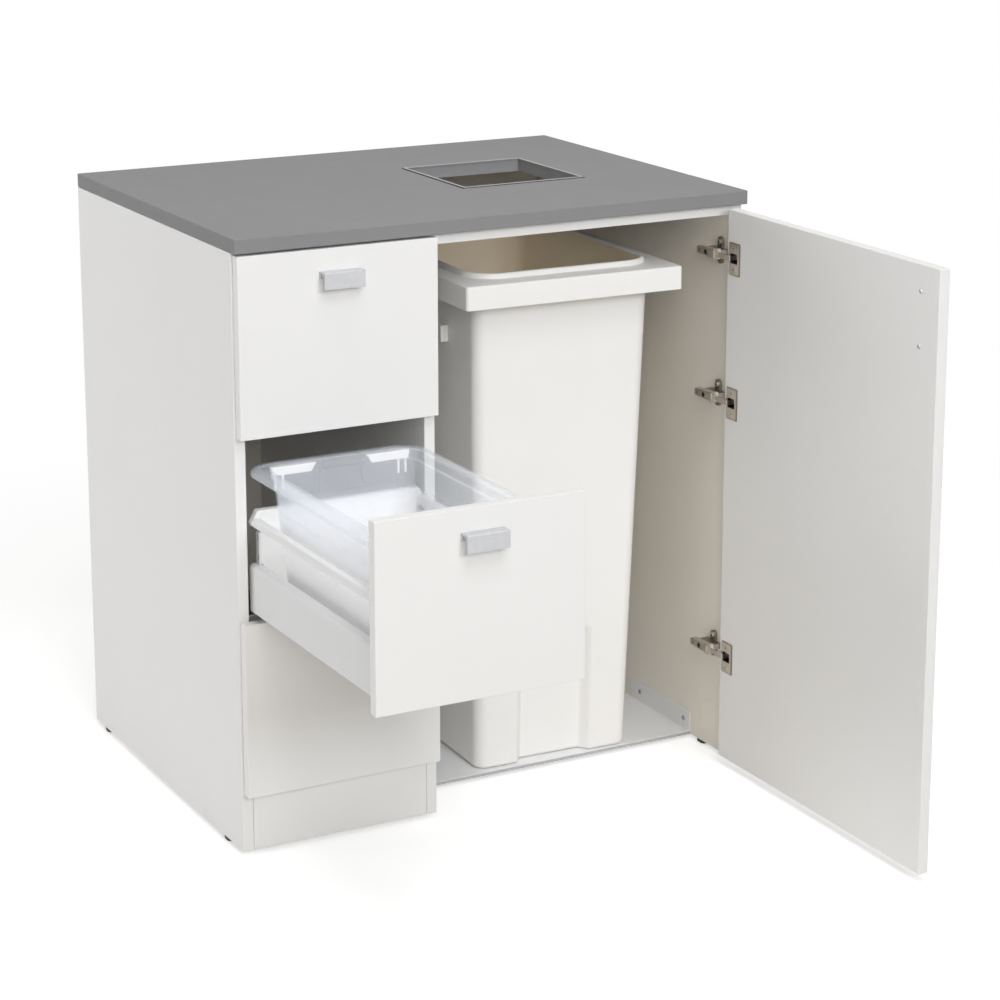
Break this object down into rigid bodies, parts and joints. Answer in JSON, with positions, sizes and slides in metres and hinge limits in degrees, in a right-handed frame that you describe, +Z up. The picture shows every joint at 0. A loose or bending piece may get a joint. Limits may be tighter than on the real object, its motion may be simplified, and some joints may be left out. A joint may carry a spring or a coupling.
{
  "type": "recycling bin cabinet",
  "caption": "White cabinet with a grey worktop, a framed waste chute over a tall bin behind a hinged door, and a column of drawers, one of them pulled out with a clear tub.",
  "frame": {"origin": "on the floor, under the middle of the whole object with the door open at a right angle", "axes": "+Z up, the front faces -Y, the bin bay is on the +X side"},
  "size_m": [0.8, 1.102, 0.87],
  "materials": {
    "white_melamine": "matt white melamine",
    "grey_laminate": "matt mid-grey laminate",
    "grey_plastic": "grey moulded",
    "white_sheet": "white powder coat",
    "white_plastic": "white moulded",
    "clear_plastic": "clear, faintly blue moulded",
    "nickel": "nickel plated",
    "galvanised": "zinc plated",
    "brushed_grey": "satin light grey",
    "black_plastic": "black moulded"
  },
  "bodies": {
    "cabinet": {"worktop": "grey_laminate", "chute_frame": "grey_plastic", "left_side_panel": "white_melamine", "partition_panel": "white_melamine", "right_side_panel": "white_melamine", "back_panel": "white_melamine", "front_rail_drawer_bay": "white_melamine", "front_rail_bin_bay": "white_melamine", "rear_rail_drawer_bay": "white_melamine", "rear_rail_bin_bay": "white_melamine", "plinth_board": "white_melamine", "drawer_bay_bottom": "white_melamine", "bin_base_plate": "white_sheet", "glide_foot_left_front": "black_plastic", "glide_foot_left_rear": "black_plastic", "glide_foot_right_front": "black_plastic", "glide_foot_right_rear": "black_plastic", "hinge_arm_top": "nickel", "hinge_arm_middle": "nickel", "hinge_arm_bottom": "nickel", "top_runner_member_left": "galvanised", "top_runner_member_right": "galvanised", "middle_runner_member_left": "galvanised", "middle_runner_member_right": "galvanised", "bottom_runner_member_left": "galvanised", "bottom_runner_member_right": "galvanised", "bin": "white_plastic"},
    "hinge_links": {"hinge_link_top": "nickel", "hinge_link_middle": "nickel", "hinge_link_bottom": "nickel"},
    "door": {"door_panel": "white_melamine", "door_handle": "brushed_grey", "hinge_cup_top": "nickel", "hinge_cup_middle": "nickel", "hinge_cup_bottom": "nickel"},
    "top_drawer": {"top_drawer_front": "white_melamine", "top_drawer_handle": "brushed_grey", "top_drawer_side_left": "white_sheet", "top_drawer_side_right": "white_sheet", "top_drawer_floor": "white_melamine", "top_drawer_back": "white_melamine"},
    "top_runner": {"top_runner_slide_left": "galvanised", "top_runner_slide_right": "galvanised"},
    "middle_drawer": {"middle_drawer_front": "white_melamine", "middle_drawer_handle": "brushed_grey", "middle_drawer_side_left": "white_sheet", "middle_drawer_side_right": "white_sheet", "middle_drawer_floor": "white_melamine", "middle_drawer_back": "white_melamine", "tub": "clear_plastic"},
    "middle_runner": {"middle_runner_slide_left": "galvanised", "middle_runner_slide_right": "galvanised"},
    "bottom_drawer": {"bottom_drawer_front": "white_melamine", "bottom_drawer_handle": "brushed_grey", "bottom_drawer_side_left": "white_sheet", "bottom_drawer_side_right": "white_sheet", "bottom_drawer_floor": "white_melamine", "bottom_drawer_back": "white_melamine"},
    "bottom_runner": {"bottom_runner_slide_left": "galvanised", "bottom_runner_slide_right": "galvanised"}
  },
  "joints": [
    {"name": "hinge_link_slide", "type": "slide", "parent": "cabinet", "child": "hinge_links", "axis": [0, -1, 0], "range_m": [-0.0351, 0.002]},
    {"name": "door_hinge", "type": "hinge", "parent": "hinge_links", "child": "door", "pos_m": [0.3735, -0.079, 0.43], "axis": [0, 0, 1], "range_deg": [-90, 5]},
    {"name": "top_drawer_slide", "type": "slide", "parent": "cabinet", "child": "top_drawer", "axis": [0, -1, 0], "range_m": [0, 0.42]},
    {"name": "top_runner_slide", "type": "slide", "parent": "cabinet", "child": "top_runner", "axis": [0, -1, 0], "range_m": [0, 0.21]},
    {"name": "middle_drawer_slide", "type": "slide", "parent": "cabinet", "child": "middle_drawer", "axis": [0, -1, 0], "range_m": [-0.406, 0.014]},
    {"name": "middle_runner_slide", "type": "slide", "parent": "cabinet", "child": "middle_runner", "axis": [0, -1, 0], "range_m": [-0.203, 0.007]},
    {"name": "bottom_drawer_slide", "type": "slide", "parent": "cabinet", "child": "bottom_drawer", "axis": [0, -1, 0], "range_m": [0, 0.42]},
    {"name": "bottom_runner_slide", "type": "slide", "parent": "cabinet", "child": "bottom_runner", "axis": [0, -1, 0], "range_m": [0, 0.21]}
  ],
  "couplings": [
    {"joint": "hinge_link_slide", "follows": "door_hinge", "m_per_rad": 0.022282},
    {"joint": "top_runner_slide", "follows": "top_drawer_slide", "ratio": 0.5},
    {"joint": "middle_runner_slide", "follows": "middle_drawer_slide", "ratio": 0.5},
    {"joint": "bottom_runner_slide", "follows": "bottom_drawer_slide", "ratio": 0.5}
  ]
}
